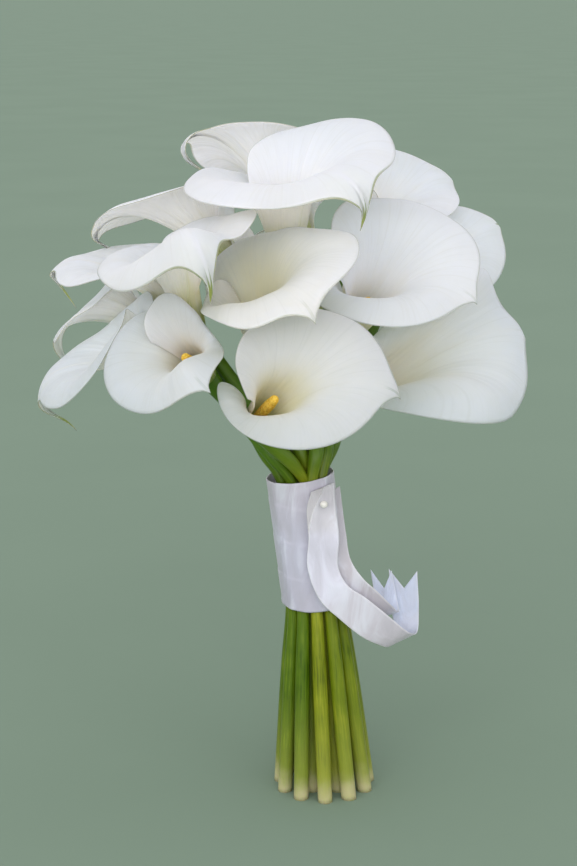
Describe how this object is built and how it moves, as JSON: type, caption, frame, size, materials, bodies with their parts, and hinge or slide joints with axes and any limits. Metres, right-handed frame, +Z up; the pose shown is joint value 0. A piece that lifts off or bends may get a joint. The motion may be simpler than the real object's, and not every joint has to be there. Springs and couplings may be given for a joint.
{
  "type": "calla lily bouquet",
  "caption": "Hand-tied round bunch of white calla lilies with bare green stems, bound with a satin ribbon; stands on its cut ends.",
  "frame": {"origin": "middle of the whole bunch's box, on the surface that the cut stem ends stand on", "axes": "+Z up the bunch, from the cut ends to the blooms; -Y towards the front of the bunch, +X to its right"},
  "size_m": [0.2738, 0.2578, 0.3819],
  "materials": {
    "spathe": "soft satin petal, cream in the throat, green at the tip",
    "stem": "smooth fleshy stem",
    "spadix": "finely beaded, matt",
    "ribbon": "satin",
    "pearl": "pearl"
  },
  "bodies": {
    "root": {"spathe_front_low": "spathe", "stem_front_low": "stem", "spadix_front_low": "spadix", "spathe_front_mid": "spathe", "stem_front_mid": "stem", "spadix_front_mid": "spadix", "spathe_front_top": "spathe", "stem_front_top": "stem", "spadix_front_top": "spadix", "spathe_right_mid": "spathe", "stem_right_mid": "stem", "spadix_right_mid": "spadix", "spathe_right_low": "spathe", "stem_right_low": "stem", "spadix_right_low": "spadix", "spathe_left_low": "spathe", "stem_left_low": "stem", "spadix_left_low": "spadix", "spathe_left_mid": "spathe", "stem_left_mid": "stem", "spadix_left_mid": "spadix", "spathe_left_edge": "spathe", "stem_left_edge": "stem", "spadix_left_edge": "spadix", "spathe_left_top": "spathe", "stem_left_top": "stem", "spadix_left_top": "spadix", "spathe_left_far": "spathe", "stem_left_far": "stem", "spadix_left_far": "spadix", "spathe_left_back": "spathe", "stem_left_back": "stem", "spadix_left_back": "spadix", "spathe_back_top": "spathe", "stem_back_top": "stem", "spadix_back_top": "spadix", "spathe_right_top": "spathe", "stem_right_top": "stem", "spadix_right_top": "spadix", "spathe_right_far": "spathe", "stem_right_far": "stem", "spadix_right_far": "spadix", "spathe_back_left": "spathe", "stem_back_left": "stem", "spadix_back_left": "spadix", "spathe_back_mid": "spathe", "stem_back_mid": "stem", "spadix_back_mid": "spadix", "spathe_back_right": "spathe", "stem_back_right": "stem", "spadix_back_right": "spadix", "ribbon_wrap": "ribbon", "ribbon_tail_front": "ribbon", "ribbon_tail_rear": "ribbon", "pearl": "pearl"}
  },
  "joints": []
}
